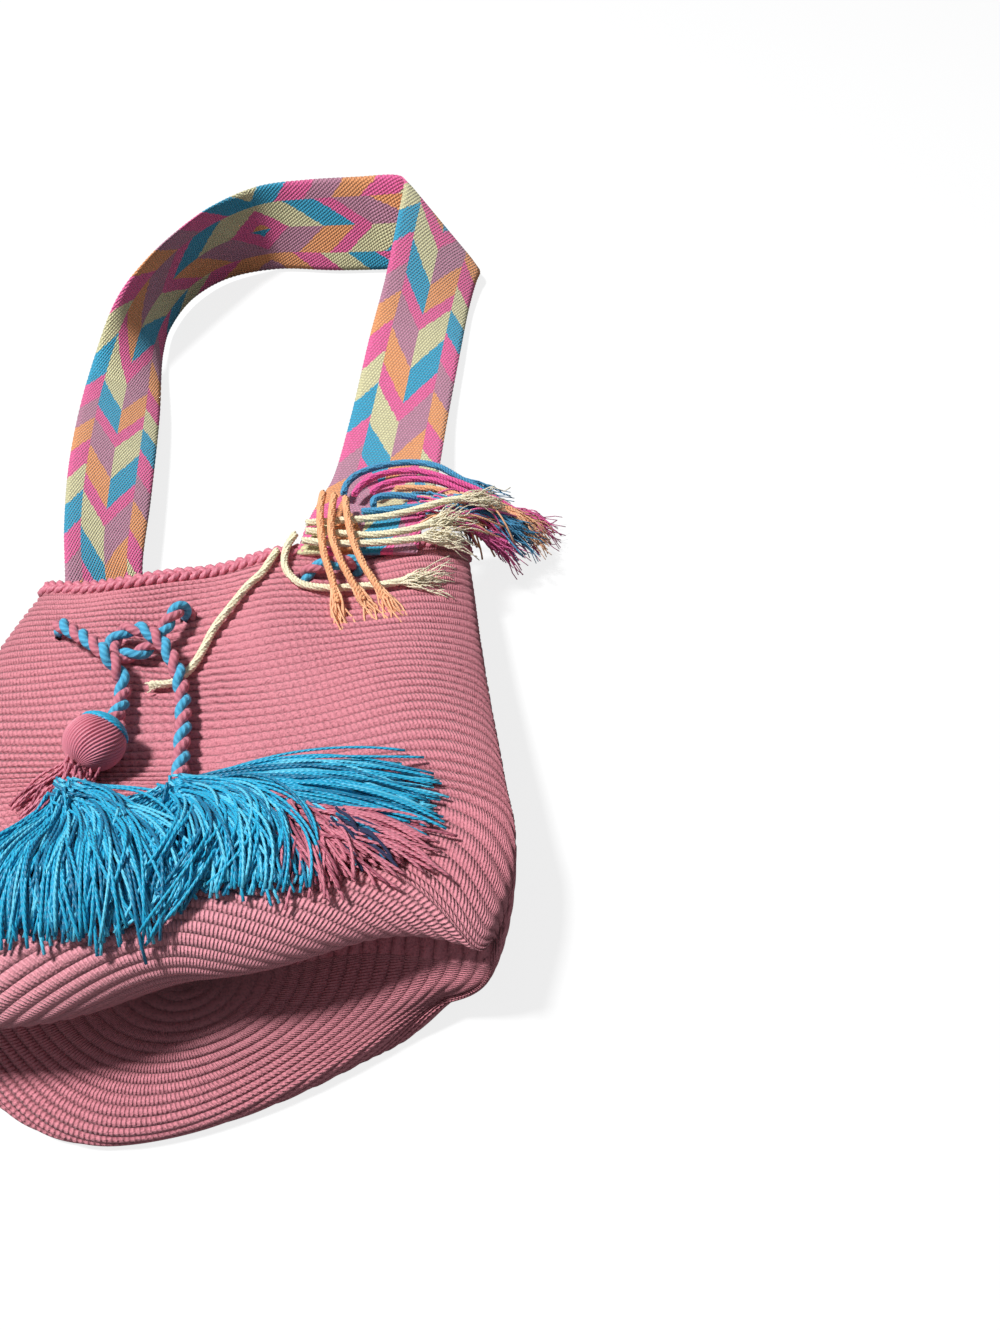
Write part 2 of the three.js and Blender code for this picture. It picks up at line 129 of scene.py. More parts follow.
def tubeGrid(line, radius, sides, slot=0):
    across, up = framesAlong(line)[1:]
    turn = 2 * math.pi * np.arange(sides) / sides
    radius = np.broadcast_to(radius, (len(line),))[:, None, None]
    ring = across[:, None, :] * np.cos(turn)[None, :, None] + up[:, None, :] * np.sin(turn)[None, :, None]
    s = lengthsAlong(line) / mm
    uv = np.stack(np.broadcast_arrays(np.arange(sides + 1)[None, :] / sides, s[:, None]), -1)
    return {"points": line[:, None, :] + ring * radius, "uv": uv, "slot": slot}


def corners(grid):
    return np.stack([grid[:-1, :-1], grid[:-1, 1:], grid[1:, 1:], grid[1:, :-1]], 2)


def gridsToMesh(name, grids, materials):
    places, faces, uvs, slots, start = [], [], [], [], 0
    for grid in grids:
        points, uv = grid["points"], grid["uv"]
        rows, cols = points.shape[:2]
        index = start + np.arange(rows * cols).reshape(rows, cols)
        index = np.hstack([index, index[:, :1]])
        quads = corners(index).reshape(-1, 4)
        places.append(points.reshape(-1, 3))
        faces.extend(quads.tolist())
        uvs.append(corners(uv).reshape(-1, 2))
        faces.append(index[0, :-1][::-1].tolist())
        faces.append(index[-1, :-1].tolist())
        uvs.append(uv[0, :-1][::-1])
        uvs.append(uv[-1, :-1])
        slots.extend([grid.get("slot", 0)] * (len(quads) + 2))
        start += rows * cols
    mesh = bpy.data.meshes.new(name)
    mesh.from_pydata(np.vstack(places).tolist(), [], faces)
    layer = mesh.uv_layers.new(name="UVMap")
    layer.data.foreach_set("uv", np.vstack(uvs).ravel())
    for material in materials:
        mesh.materials.append(material)
    mesh.polygons.foreach_set("material_index", slots)
    mesh.polygons.foreach_set("use_smooth", [True] * len(faces))
    mesh.update()
    piece = bpy.data.objects.new(name, mesh)
    bpy.context.collection.objects.link(piece)
    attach(piece, "root")
    return piece


# Shader wires: an expression on values adds Math nodes, every other node comes from make
class Wire:
    def __init__(self, tree, socket=None):
        self.tree = tree
        self.socket = socket

    def make(self, kind, settings=None, inputs=None, output=0):
        node = self.tree.nodes.new(kind)
        for key, value in (settings or {}).items():
            if key == "stops":
                ramp = node.color_ramp
                while len(ramp.elements) < len(value):
                    ramp.elements.new(0.5)
                for element, (place, colour) in zip(ramp.elements, value):
                    element.position = place
                    element.color = (*colour, 1.0)
            elif key == "between":
                node.color_ramp.interpolation = value
            else:
                setattr(node, key, value)
        for key, value in (inputs or {}).items():
            if isinstance(value, Wire):
                self.tree.links.new(value.socket, node.inputs[key])
            else:
                node.inputs[key].default_value = value
        return Wire(self.tree, node.outputs[output] if node.outputs else None)

    def calc(self, operation, *others):
        inputs = {0: self}
        inputs.update({i + 1: other for i, other in enumerate(others)})
        return self.make("ShaderNodeMath", {"operation": operation}, inputs)

    def __add__(self, other):
        return self.calc("ADD", other)

    def __mul__(self, other):
        return self.calc("MULTIPLY", other)

    def __sub__(self, other):
        return self.calc("SUBTRACT", other)

    def __rsub__(self, other):
        return self.make("ShaderNodeMath", {"operation": "SUBTRACT"}, {0: other, 1: self})

    def __pow__(self, other):
        return self.calc("POWER", other)

    __radd__ = __add__
    __rmul__ = __mul__

    def fract(self):
        return self.calc("FRACT")

    def floor(self):
        return self.calc("FLOOR")

    def sine(self):
        return self.calc("SINE")

    def size(self):
        return self.calc("ABSOLUTE")

    def clip(self, low, high):
        return self.calc("MAXIMUM", low).calc("MINIMUM", high)

    def split(self, axes):
        return [self.make("ShaderNodeSeparateXYZ", inputs={0: self}, output=axis) for axis in axes]

    def mix(self, first, second):
        return self.make("ShaderNodeMix", {"data_type": "RGBA"}, {0: self, 6: first, 7: second}, 2)


def colour(red, green, blue):
    channels = []
    for value in (red / 255, green / 255, blue / 255):
        channels.append(value / 12.92 if value <= 0.04045 else ((value + 0.055) / 1.055) ** 2.4)
    return (*channels, 1.0)


def newMaterial(name):
    material = bpy.data.materials.new(name)
    material.use_nodes = True
    tree = material.node_tree
    tree.nodes.clear()
    return material, Wire(tree)


def cloth(wire, baseColour, roughness, height, depth, sheen=0.25, gloss=0.2):
    bump = wire.make("ShaderNodeBump", inputs={"Height": height, "Distance": depth, "Strength": 1.0})
    skin = wire.make("ShaderNodeBsdfPrincipled", inputs={
        "Base Color": baseColour, "Roughness": roughness, "Normal": bump, "Sheen Weight": sheen,
        "Sheen Roughness": 0.5, "Specular IOR Level": gloss})
    wire.make("ShaderNodeOutputMaterial", inputs={"Surface": skin})


def uvOf(wire):
    return wire.make("ShaderNodeTexCoord", output=2).split((0, 1))


def placeOf(wire):
    return wire.make("ShaderNodeTexCoord", output=3)


def speckle(wire, scale, detail=2.0):
    return wire.make("ShaderNodeTexNoise", inputs={"Vector": placeOf(wire), "Scale": scale, "Detail": detail})


def tent(share):
    return 1.0 - ((share - 0.5) * 2.0).size()


# Yarn: twisted fibres that run round the strand, with painted shade between the plies
yarnLook = {"plies": 3.0, "fuzzScale": 1800.0, "toneScale": 60.0, "crownShare": 0.55, "toneAndPaintedLipLight": 0.5,
            "sheen": 0.08}


def yarnMaterial(name, light, dark, twist, relief, dull=0.85, gloss=0.2):
    look = yarnLook
    material, wire = newMaterial(name)
    around, along = uvOf(wire)
    crown = tent((around * look["plies"] + along * (1.0 / twist)).fract())
    fuzz = speckle(wire, look["fuzzScale"])
    tone = speckle(wire, look["toneScale"])
    light, dark = colour(*light), colour(*dark)
    # Painted shade: the ply crowns take the light colour and the hollows between plies the dark one
    shade = (crown * look["crownShare"] + fuzz * (1.0 - look["crownShare"])).mix(dark, light)
    # Lighter at random where the tone noise is high
    toneAndPaintedLipLight = (tone * look["toneAndPaintedLipLight"]).mix(shade, light)
    cloth(wire, toneAndPaintedLipLight, dull - 0.1 * crown, crown + fuzz * 0.6, relief, sheen=look["sheen"], gloss=gloss)
    return material


yarnSetup = {  # name: light, dark, twist in mm, relief in m, then roughness and shine where they differ
    "ropeBlue": ((96, 192, 228), (38, 120, 165), 3.0, 0.0004),
    "ropePink": ((222, 138, 152), (160, 78, 96), 3.0, 0.0004),
    "peach": ((255, 196, 150), (236, 150, 100), 2.4, 0.0004),
    "cream": ((255, 249, 220), (222, 209, 166), 2.4, 0.0004),
    "blue": ((96, 176, 216), (46, 112, 160), 2.4, 0.0004),
    "pink": ((250, 112, 176), (208, 66, 134), 2.4, 0.0004),
    "tasselBlue": ((40, 196, 236), (6, 108, 154), 2.4, 0.0002, 0.5, 0.5),
    "tasselPale": ((108, 218, 246), (42, 162, 204), 2.4, 0.0002, 0.5, 0.5),
    "tasselDeep": ((16, 142, 184), (4, 76, 112), 2.4, 0.0002, 0.5, 0.5),
    "roseDeep": ((190, 102, 122), (128, 54, 74), 2.4, 0.0002, 0.55, 0.4),
    "tasselRose": ((228, 140, 157), (176, 88, 108), 2.4, 0.0002, 0.55, 0.4),
    "tasselNavy": ((58, 64, 100), (22, 24, 46), 1.6, 0.0001),
    # The fray yarns are paler copies of the cord yarns, lighter in their dark tones: painted light that
    # offsets the self-shadow of their thin ends
    "peachFray": ((255, 206, 164), (244, 168, 124), 1.6, 0.0001),
    "creamFray": ((255, 248, 222), (244, 228, 192), 1.6, 0.0001),
    "blueFray": ((98, 174, 212), (56, 122, 170), 1.6, 0.0001),
    "pinkFray": ((246, 124, 180), (206, 76, 136), 1.6, 0.0001),
}
yarns = {name: yarnMaterial(name, *values) for name, values in yarnSetup.items()}
print("yarn materials made")


# Drawstring and fringe cords, on the routes of the solids
ropeSetup = {"diameter": 6.5, "strandRadius": 2.05, "layRadius": 1.6, "pitch": 16.5, "sides": 10,
             "spacing": 0.5}
ropeLoop = [
    (-80, 78, 41), (-81, 77, 36), (-90, 70, 27), (-89, 63, 15), (-68, 64, 9), (-20, 78, 8), (30, 86, 8),
    (72, 90, 9), (93, 93, 16), (95, 100, 27), (82, 111, 34), (66, 120, 34), (56, 121, 38), (54, 121, 46),
    (54, 121, 53), (50, 120, 57), (43, 117, 57), (35, 115, 57), (30, 113, 54), (30, 113, 46), (28, 112, 39),
    (20, 106, 36), (4, 96, 36), (-14, 89, 36), (-22, 88, 41),
]
ropeRight = [
    (-23, 88, 46), (-23, 88, 54), (-24, 85, 60), (-28, 75, 60), (-33, 65, 57), (-40, 59, 57), (-47, 59, 57),
    (-51, 64, 58), (-47, 70, 60), (-39, 70, 62), (-32, 66, 63), (-25, 59, 62), (-18, 48, 60), (-14, 37, 58),
    (-10, 22, 59), (-7, 6, 60.5), (-4.5, -6, 62.5), (-3, -14.5, 65),
]
ropeLeft = [
    (-80, 78, 46), (-80, 78, 53), (-77, 75, 59), (-68, 68, 62), (-58, 60, 65), (-49, 52, 66), (-43, 46, 63),
    (-40, 40, 59), (-39, 33, 59), (-37.5, 26, 60.5), (-36.9, 14.6, 65),
]


def twistedRope(name, route, setup, slots, materials):
    line = smoothLine(route, setup["spacing"] * mm)
    across, up = framesAlong(line)[1:]
    s = lengthsAlong(line) / mm
    grids = []
    for k, slot in enumerate(slots):
        turn = 2 * math.pi * (k / len(slots) + s / setup["pitch"])
        offset = across * np.cos(turn)[:, None] + up * np.sin(turn)[:, None]
        strand = line + offset * setup["layRadius"] * mm
        grids.append(tubeGrid(strand, setup["strandRadius"] * mm, setup["sides"], slot))
    return gridsToMesh(name, grids, materials), line


ropeColours = [yarns["ropeBlue"], yarns["ropePink"]]
ropeSlots = [0, 1]
mouthRope = twistedRope("drawstringInMouth", ropeLoop, ropeSetup, ropeSlots, ropeColours)[0]
rightRope, rightLine = twistedRope("drawstringRightEnd", ropeRight, ropeSetup, ropeSlots, ropeColours)
leftRope, leftLine = twistedRope("drawstringLeftEnd", ropeLeft, ropeSetup, ropeSlots, ropeColours)
for rope, node in ((mouthRope, "drawstring_in_mouth"), (rightRope, "drawstring_right_end"),
                   (leftRope, "drawstring_left_end")):
    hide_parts(node)

fringeSetup = {"diameter": 3.8, "strandRadius": 0.98, "layRadius": 1.0, "pitch": 5.4, "sides": 7,
               "spacing": 0.55, "frayYarns": 60, "frayLength": 28.0, "frayBack": 5.0, "frayRadius": 0.4,
               "spread": 0.5, "frayPoints": 9, "fraySag": 0.22, "frayWave": 0.05}
tips = {"fringe_cream_5": {"frayYarns": 14, "frayLength": 7.0},  # the stray cream cord is hardly frayed
        "peach": {"frayYarns": 26, "frayLength": 43.0, "frayBack": 10.0, "frayRadius": 0.55, "spread": 0.26},
        "pink": {"frayYarns": 80, "frayLength": 31.0, "frayBack": 22.0},
        "blue": {"frayYarns": 60, "frayLength": 30.0, "frayBack": 20.0},
        "apricot": {"frayYarns": 80, "frayLength": 31.0, "frayBack": 20.0}}
fringeRoutes = {
    "peach": [
        [(33, 168, 59), (34, 152, 63), (36, 136, 64), (40, 117, 64), (45, 103, 60), (48, 92, 56)],
        [(39, 166, 59), (40, 149, 63), (42, 131, 64), (47, 116, 64), (54, 103, 60), (60, 95, 55)],
        [(45, 164, 59), (48, 147, 63), (53, 127, 63), (59, 113, 61), (65, 103, 59), (71, 95, 55)],
    ],
    "cream": [
        [(27, 146, 58), (44, 148, 58), (62, 151, 57), (78, 157, 56), (96, 166, 55), (107, 171, 53)],
        [(28, 139, 59), (47, 137, 59), (60, 137, 58), (72, 140, 57), (84, 145, 56), (91, 150, 55)],
        [(27, 132, 59), (42, 130, 59), (58, 131, 58), (76, 134, 57), (88, 139, 55)],
        [(22, 139, 57), (19, 128, 57), (20, 116, 56), (29, 105, 56), (43, 103, 55), (56, 105, 54),
         (67, 106, 54), (79, 109, 54)],
        [(14, 129, 55), (12, 121, 56), (9, 112, 56), (4, 104, 56), (-2, 90, 56), (-8, 76, 55), (-11, 64, 54),
         (-14, 54, 54), (-21, 46, 53), (-30, 43, 55)],
    ],
    "blue": [
        [(42, 176, 52), (42, 190, 47), (46, 204, 42), (55, 215, 38), (66, 221, 36), (77, 223, 35),
         (90, 218, 36), (104, 211, 32), (119, 207, 25)],
        [(59, 164, 54), (59, 170, 53), (64, 174, 52), (77, 177, 49), (96, 178, 44), (114, 179, 36),
         (133, 179, 25)],
        [(54, 157, 56), (64, 159, 55), (76, 162, 54), (88, 167, 51), (101, 171, 48), (118, 173, 40),
         (136, 173, 30)],
    ],
    "pink": [
        [(48, 174, 53), (50, 186, 49), (56, 198, 45), (66, 206, 42), (79, 208, 41), (93, 205, 39),
         (109, 201, 35), (124, 198, 28), (138, 196, 19), (151, 196, 13)],
        [(57, 178, 51), (62, 188, 48), (76, 196, 45), (90, 198, 42), (105, 194, 38), (123, 190, 30),
         (140, 186, 21)],
        [(92, 155, 51), (104, 158, 45), (116, 160, 38), (128, 163, 28)],
    ],
    "apricot": [
        [(69, 182, 50), (80, 186, 47), (92, 187, 45), (109, 185, 41), (127, 185, 35), (143, 182, 25)],
    ],
}


def frayedEnd(line, setup):
    across, up = (side[-1] for side in framesAlong(line)[1:])
    first = max(0, len(line) - 1 - int(setup["frayBack"] * (len(line) - 1) * mm / lineLength(line)))
    tip, heading = line[first], unit(line[-1] - line[first])
    radius = setup["frayRadius"] * mm
    t = np.linspace(0, 1, setup["frayPoints"])[:, None]
    grids = []
    for _ in range(setup["frayYarns"]):
        turn = rng.uniform(0, 2 * math.pi)
        spread = setup["spread"] * rng.uniform(0.05, 1.0)
        reach = setup["frayLength"] * rng.uniform(0.45, 1.1)
        outward = across * math.cos(turn) + up * math.sin(turn) * 0.6
        start = tip + outward * 1.1 * mm
        bend = heading * t + outward * spread * t**1.4 + np.array((0, 0, -setup["fraySag"])) * t**2
        wave = np.sin(t * rng.uniform(5, 12) + rng.uniform(0, 6)) * across
        wave = wave + np.sin(t * rng.uniform(5, 12) + rng.uniform(0, 6)) * up
        yarn = start + (bend + wave * setup["frayWave"] * np.minimum(1, t * 3)) * reach * mm
        yarn[:, 2] = np.maximum(yarn[:, 2], radius * 1.2)
        grids.append(tubeGrid(yarn, radius * np.linspace(1.1, 0.7, setup["frayPoints"]), 4))
    return grids


# Loose yarns that have come out of the cords and lie tangled between them
tangleSetup = {"low": (80, 150, 49), "high": (104, 180, 51), "endLow": (106, 163, 16),
               "endHigh": (140, 190, 28), "radius": 0.55, "wave": (1.8, 4.8, 1.5), "fall": 2.3, "points": 22,
               "yarns": {"apricot": 26, "pink": 34, "blue": 14}}


def looseTangle(setup, count):
    t = np.linspace(0, 1, setup["points"])[:, None]
    drop = np.hstack([t, t, t ** setup["fall"]])
    grids = []
    for _ in range(count):
        start = rng.uniform(setup["low"], setup["high"])
        end = rng.uniform(setup["endLow"], setup["endHigh"])
        wave = np.sin(t * rng.uniform(4, 9) + rng.uniform(0, 6, 3)) * t * np.array(setup["wave"])
        yarn = (start + (end - start) * drop + wave) * mm
        yarn[:, 2] = np.maximum(yarn[:, 2], setup["radius"] * mm)
        grids.append(tubeGrid(yarn, setup["radius"] * mm, 5))
    return grids


for family, routes in fringeRoutes.items():
    shade = "peach" if family == "apricot" else family
    for number, route in enumerate(routes, 1):
        node = f"fringe_{family}_{number}"
        title = f"fringe{family.capitalize()}{number}"
        cordPiece, line = twistedRope(title, route, fringeSetup, [0, 0, 0], [yarns[shade]])
        tip = {**fringeSetup, **tips.get(node, tips.get(family, {}))}
        fray = gridsToMesh(title + "Fray", frayedEnd(line, tip), [yarns[shade + "Fray"]])
        onCord = [fray]
        if number == 1 and family in tangleSetup["yarns"]:
            loose = looseTangle(tangleSetup, tangleSetup["yarns"][family])
            onCord.append(gridsToMesh(title + "Tangle", loose, [yarns[shade + "Fray"]]))
        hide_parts(node)
        for piece in (cordPiece, *onCord):
            shade + "_cord"
print("cords laid")


# Bag body: one crocheted shell, lofted through its front, side and back lines by crochet row
bodySetup = {"baseRows": 21, "rows": 57, "rowPitch": 5.8, "blendRows": 10, "wallRows": 44, "stitches": 270,
             "columns": 264, "perRow": 4, "innerRings": 40, "wall": 3.6, "lipShare": 0.75,
             "hollowShare": 0.65, "baseShift": 4.0, "ribHeight": 1.25, "baseRib": 0.5, "ribFade": 5.0,
             "sunk": 0.75, "eyelet": 7.8, "eyeletSides": 20, "punchDepth": 0.04, "punchHeight": 0.048}
# What the slack cloth does, in mm and rows
slackSetup = {
    "sweep": {"x": 18, "forward": 18, "width": 38, "backX": 92, "back": 17, "backWidth": 42, "reach": 20,
              "fade": 50},
    "hollow": {"x": -20, "left": 84, "leftPower": 2, "right": 123, "rightPower": 1.72},
    "corner": {"drop": 0.25, "dropAt": 100, "rise": 10, "riseAt": 120, "fade": 40},
    "tuck": {"x": 72, "width": 40, "fade": 15, "back": 13, "down": 6},
    "slouch": {"roundness": 0.72, "slant": 0.16, "bulge": 2, "row": 39, "rows": 9},
    "mouth": {"pull": 9, "pullX": -56, "pullWidth": 34, "wave": 3, "waveX": 18, "waveLength": 11, "droop": 2},
    "dent": {"depth": 4, "x": -32, "width": 16, "slant": 0.45, "y": 70, "row": 47.5, "rows": 7.5},
    "climb": {"rows": 4.4, "x": -5, "over": 110, "row": 37, "fade": 10, "wobble": 0.3, "wave": 19,
              "perRow": 0.35, "wobbleRow": 42, "wobbleFade": 14},
}
eyelets = [(-80, 78), (-23, 88), (30, 113), (54, 121)]
stations = {
    "row": (21, 24, 28, 34, 40, 46, 52, 57),
    "frontY": (-41, -30, -17, 1, 35, 69, 104, 132),
    "frontZ": (68, 63.5, 58.5, 55, 53.6, 53.6, 53.6, 50.6),
    "sideX": (119, 128, 132.5, 127, 121, 115.5, 111, 106.5),
    "sideY": (-82, -66, -42, -4, 35, 75, 113, 146),
    "sideZ": (42, 44.5, 46.5, 45.5, 41.5, 37, 32, 28),
    "backY": (-118, -98, -70, -25, 20, 64, 108, 142),
    "backZ": (-6, -6, -6, -6, -6, -6, -6, -6),
}
lipLine = {
    "reach": (0, 8, 21, 30, 40, 50, 62, 75, 91, 117, 135),
    "y": (-83, -86, -91.5, -92.5, -88.5, -80.5, -69, -56.5, -42, -22, -6),
    "z": (32, 40, 52, 60, 69.5, 76, 79, 76, 69, 61, 57),
}
hollowLine = {
    "reach": (0, 15, 34, 53, 60, 66, 79, 102, 117),
    "y": (-83, -96, -113, -131, -134, -131, -118, -95, -80),
    "z": (32, 23, 15.5, 11, 5, -1, -6, -6, -6),
}


def along(at, value, place):
    at, value = np.array(at, float), np.array(value, float)
    slope = np.empty_like(value)
    slope[1:-1] = (value[2:] - value[:-2]) / (at[2:] - at[:-2])
    slope[0] = (value[1] - value[0]) / (at[1] - at[0])
    slope[-1] = (value[-1] - value[-2]) / (at[-1] - at[-2])
    k = np.clip(np.searchsorted(at, place, side="left") - 1, 0, len(at) - 2)
    span = at[k + 1] - at[k]
    t = (place - at[k]) / span
    ease = t * t * (3 - 2 * t)
    return (value[k] + (value[k + 1] - value[k]) * ease + t * (1 - t) ** 2 * span * slope[k]
            + t * t * (t - 1) * span * slope[k + 1])


def guide(name, row):
    return along(stations["row"], stations[name], row)


def hump(value, centre, width):
    return np.exp(-(((value - centre) / width) ** 2))


def lipShift(x):
    sweep = slackSetup["sweep"]
    forward = np.where(x < sweep["x"], sweep["forward"] * (1 - hump(x, sweep["x"], sweep["width"])), 0)
    return sweep["back"] * hump(x, sweep["backX"], sweep["backWidth"]) - forward


def hollowDepth(x):
    hollow = slackSetup["hollow"]
    left = (np.maximum(hollow["x"] - x, 0) / hollow["left"]) ** hollow["leftPower"]
    right = (np.maximum(x - hollow["x"], 0) / hollow["right"]) ** hollow["rightPower"]
    return np.maximum(0, 1 - np.where(x < hollow["x"], left, right))


def basePoint(row, angle):
    setup = bodySetup
    sweep, corner, tuck = (slackSetup[key] for key in ("sweep", "corner", "tuck"))
    ring = np.minimum(row, setup["baseRows"])
    up = np.sin(angle) >= 0
    x = ring * setup["rowPitch"] * np.cos(angle) + setup["baseShift"] * (1 - ring / setup["baseRows"])
    share = np.where(up, setup["lipShare"], setup["hollowShare"])
    reach = row * setup["rowPitch"] * np.abs(np.sin(angle)) * share
    foldY, foldZ = lipLine["y"][0], lipLine["z"][0]
    swept = lipShift(x) * hump(reach, sweep["reach"], sweep["fade"])
    lipY = along(lipLine["reach"], lipLine["y"], reach) + swept
    lipZ = along(lipLine["reach"], lipLine["z"], reach)
    lipZ = foldZ + (lipZ - foldZ) * (1 - corner["drop"] * (np.maximum(x, 0) / corner["dropAt"]) ** 2)
    hollowY = along(hollowLine["reach"], hollowLine["y"], reach)
    hollowY = foldY + (hollowY - foldY) * hollowDepth(x)
    hollowZ = along(hollowLine["reach"], hollowLine["z"], reach)
    y, z = np.where(up, lipY, hollowY), np.where(up, lipZ, hollowZ)
    tucked = hump(x, tuck["x"], tuck["width"]) * hump(reach, 0, tuck["fade"])
    rise = corner["rise"] * (x / corner["riseAt"]) ** 2 * hump(reach, 0, corner["fade"])
    return np.stack([x, y + tuck["back"] * tucked, z + rise - tuck["down"] * tucked], -1)


def sidePoint(row, angle):
    slouch, mouth, dent = (slackSetup[key] for key in ("slouch", "mouth", "dent"))
    up = np.sin(angle) >= 0
    across = np.sign(np.cos(angle)) * np.abs(np.cos(angle)) ** slouch["roundness"]
    rise = np.abs(np.sin(angle)) ** slouch["roundness"]
    farY = np.where(up, guide("frontY", row), guide("backY", row))
    farZ = np.where(up, guide("frontZ", row), guide("backZ", row))
    sideY, sideZ = guide("sideY", row), guide("sideZ", row)
    x = guide("sideX", row) * across
    height = (row - bodySetup["baseRows"]) / (bodySetup["rows"] - bodySetup["baseRows"])
    y = sideY + (farY - sideY) * rise + slouch["slant"] * x * height**2
    z = sideZ + (farZ - sideZ) * rise
    yUp = y - rise * mouth["pull"] * hump(x, mouth["pullX"], mouth["pullWidth"]) * height**4
    zUp = z + slouch["bulge"] * np.sin(2 * angle) ** 2 * hump(row, slouch["row"], slouch["rows"])
    wave = mouth["wave"] * np.cos((x - mouth["waveX"]) / mouth["waveLength"]) - mouth["droop"]
    zUp = zUp + rise * height**3 * wave
    aslant = x + dent["slant"] * (yUp - dent["y"])
    dented = rise * dent["depth"] * hump(aslant, dent["x"], dent["width"])
    zUp = zUp - dented * hump(row, dent["row"], dent["rows"])
    return np.stack([x, np.where(up, yUp, y), np.where(up, zUp, z)], -1)


def wallPoint(row, angle):
    row, angle = np.broadcast_arrays(np.asarray(row, float), np.asarray(angle, float))
    t = np.clip((row - bodySetup["baseRows"]) / bodySetup["blendRows"], 0, 1)[..., None]
    share = t * t * (3 - 2 * t)
    base = basePoint(np.minimum(row, bodySetup["baseRows"] + bodySetup["blendRows"]), angle)
    side = sidePoint(np.maximum(row, bodySetup["baseRows"]), angle)
    point = base * (1 - share) + side * share
    point[..., 2] = np.maximum(point[..., 2], 0)
    return point


def wallNormal(row, angle):
    rowStep, turnStep = 0.12, 0.02
    safe = np.clip(row, 5 * rowStep, bodySetup["rows"] - rowStep)
    upWall = wallPoint(safe + rowStep, angle) - wallPoint(safe - rowStep, angle)
    around = wallPoint(safe, angle + turnStep) - wallPoint(safe, angle - turnStep)
    return unit(np.cross(upWall, around))


# Crochet rows: one to one on the base, closer on the wall, and climbing to the right across the front
def rowPlace(row):
    wall = (bodySetup["rows"] - bodySetup["baseRows"]) / bodySetup["wallRows"]
    return np.minimum(row, bodySetup["baseRows"]) + np.maximum(row - bodySetup["baseRows"], 0) * wall


def climbingRow(row, angle):
    climb, place = slackSetup["climb"], rowPlace(row)
    x = wallPoint(place, angle)[..., 0]
    t = np.clip((x - climb["x"]) / climb["over"], 0, 1)
    climbed = climb["rows"] * t * t * (3 - 2 * t) * hump(place, climb["row"], climb["fade"])
    wave = climb["wobble"] * np.sin(x / climb["wave"] + row * climb["perRow"])
    wobble = wave * hump(place, climb["wobbleRow"], climb["wobbleFade"])
    return row - np.sqrt(np.maximum(np.sin(angle), 0)) * (climbed + wobble)


def crochetBody(materials):
    setup = bodySetup
    angle = 2 * math.pi * np.arange(setup["columns"]) / setup["columns"]
    allRows = setup["baseRows"] + setup["wallRows"]
    rows = np.arange(1, allRows * setup["perRow"] + 1) / setup["perRow"]
    grid, turn = np.meshgrid(rows, angle, indexing="ij")
    climbing = climbingRow(grid, turn)
    rib = 0.5 - 0.5 * np.cos(2 * math.pi * climbing)
    onWall = np.clip((climbing - setup["baseRows"] - 1) / setup["ribFade"], 0, 1)
    flat = setup["baseRib"] + (1 - setup["baseRib"]) * onWall
    lift = (setup["ribHeight"] * rib - setup["sunk"]) * flat
    place = rowPlace(grid)
    outside = wallPoint(place, turn) + wallNormal(place, turn) * lift[..., None]
    outside[..., 2] = np.maximum(outside[..., 2], 0)
    lastInner = 2  # the inner wall closes over the base two rows from its middle
    innerRows = np.linspace(setup["rows"], lastInner, setup["innerRings"])
    innerGrid, innerTurn = np.meshgrid(innerRows, angle, indexing="ij")
    inside = wallPoint(innerGrid, innerTurn) - wallNormal(innerGrid, innerTurn) * setup["wall"]
    inside[..., 2] = np.maximum(inside[..., 2], setup["wall"])
    points = np.vstack([outside, inside])[:, ::-1] * mm
    innerUv = np.linspace(allRows, lastInner, setup["innerRings"])[:, None]
    uvRows = np.vstack([climbing, np.repeat(innerUv, len(angle), 1)])
    uvRows = np.hstack([uvRows, uvRows[:, :1]])[:, ::-1]
    edge = np.linspace(0, setup["stitches"], len(angle) + 1)
    uv = np.stack(np.broadcast_arrays(edge[None, :], uvRows), -1)
    return gridsToMesh("crochetBody", [{"points": points, "uv": uv}], materials)


# Crochet stitches on the body's own UV map: whole numbers are rows up the wall and stitches round it
# The last colour after patch is painted light, mixed onto the lip's top in place of light the lamp does not
# give it
crochetLook = {"light": (221, 138, 150), "dark": (150, 78, 90), "patch": (230, 158, 168),
               "toneAndPaintedLipLight": (246, 170, 181), "fuzzScale": 1100.0, "fuzzDetail": 3.0, "patchScale": 28.0,
               "stagger": 0.37, "lean": 0.9, "coarseRow": 28.0, "coarseRows": 5.0, "lipY": -0.050,
               "lipZ": 0.030, "relief": 0.0012, "sheen": 0.08}


